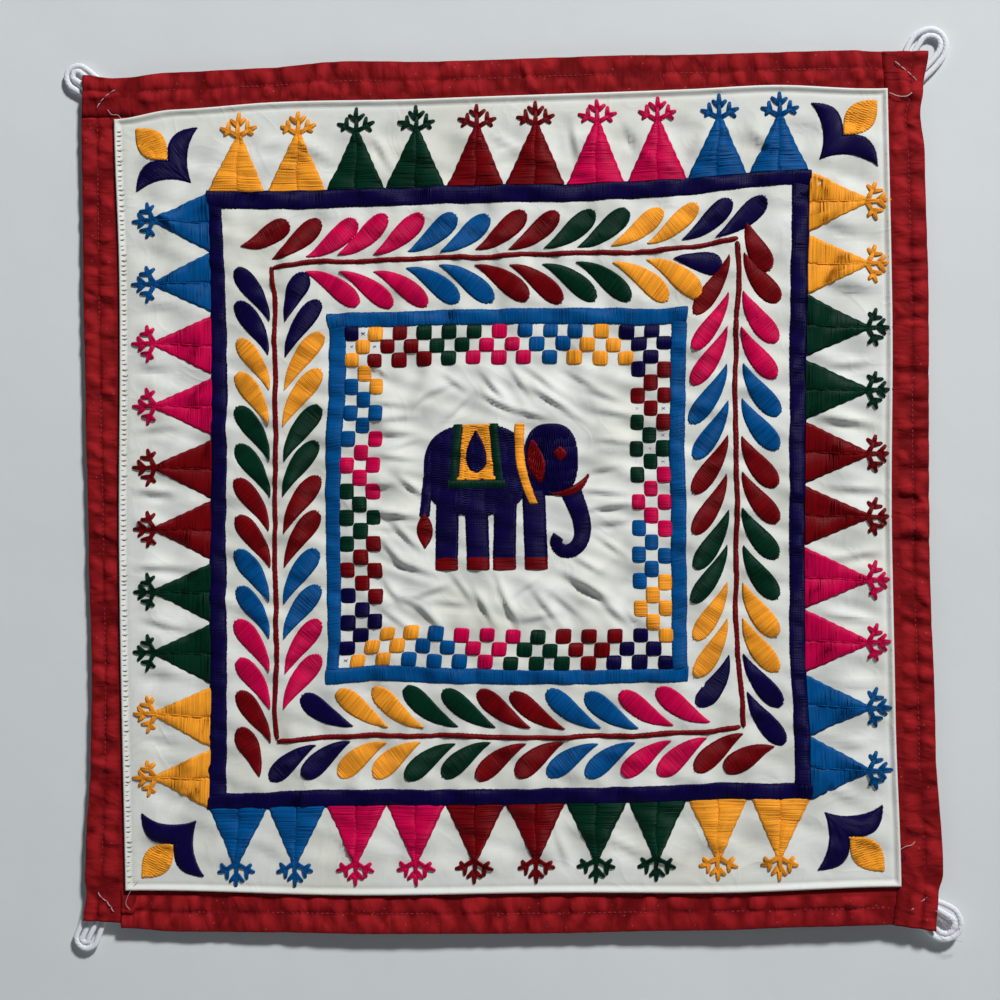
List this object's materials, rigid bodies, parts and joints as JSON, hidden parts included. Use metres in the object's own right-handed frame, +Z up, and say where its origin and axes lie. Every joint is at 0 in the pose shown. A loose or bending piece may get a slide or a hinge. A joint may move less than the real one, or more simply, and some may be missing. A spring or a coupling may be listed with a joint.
{
  "type": "embroidered wall hanging",
  "caption": "Square embroidered cotton wall hanging with satin frames, an elephant in the middle, a red folded border and a cord loop at each corner.",
  "frame": {"origin": "middle of the hanging's top edge, in the plane of the panel's back", "axes": "+Z up, +X to the right as the embroidered face is seen, +Y towards the wall"},
  "size_m": [0.4801, 0.0114, 0.4915],
  "materials": {
    "ground_cotton": "plain weave",
    "border_cotton": "plain weave",
    "loop_cord": "soft cord",
    "thread": "satin stitch"
  },
  "bodies": {
    "root": {"panel": "ground_cotton", "border_top": "border_cotton", "border_right": "border_cotton", "border_bottom": "border_cotton", "border_left": "border_cotton", "loop_tl": "loop_cord", "loop_tr": "loop_cord", "loop_br": "loop_cord", "loop_bl": "loop_cord"}
  },
  "joints": []
}
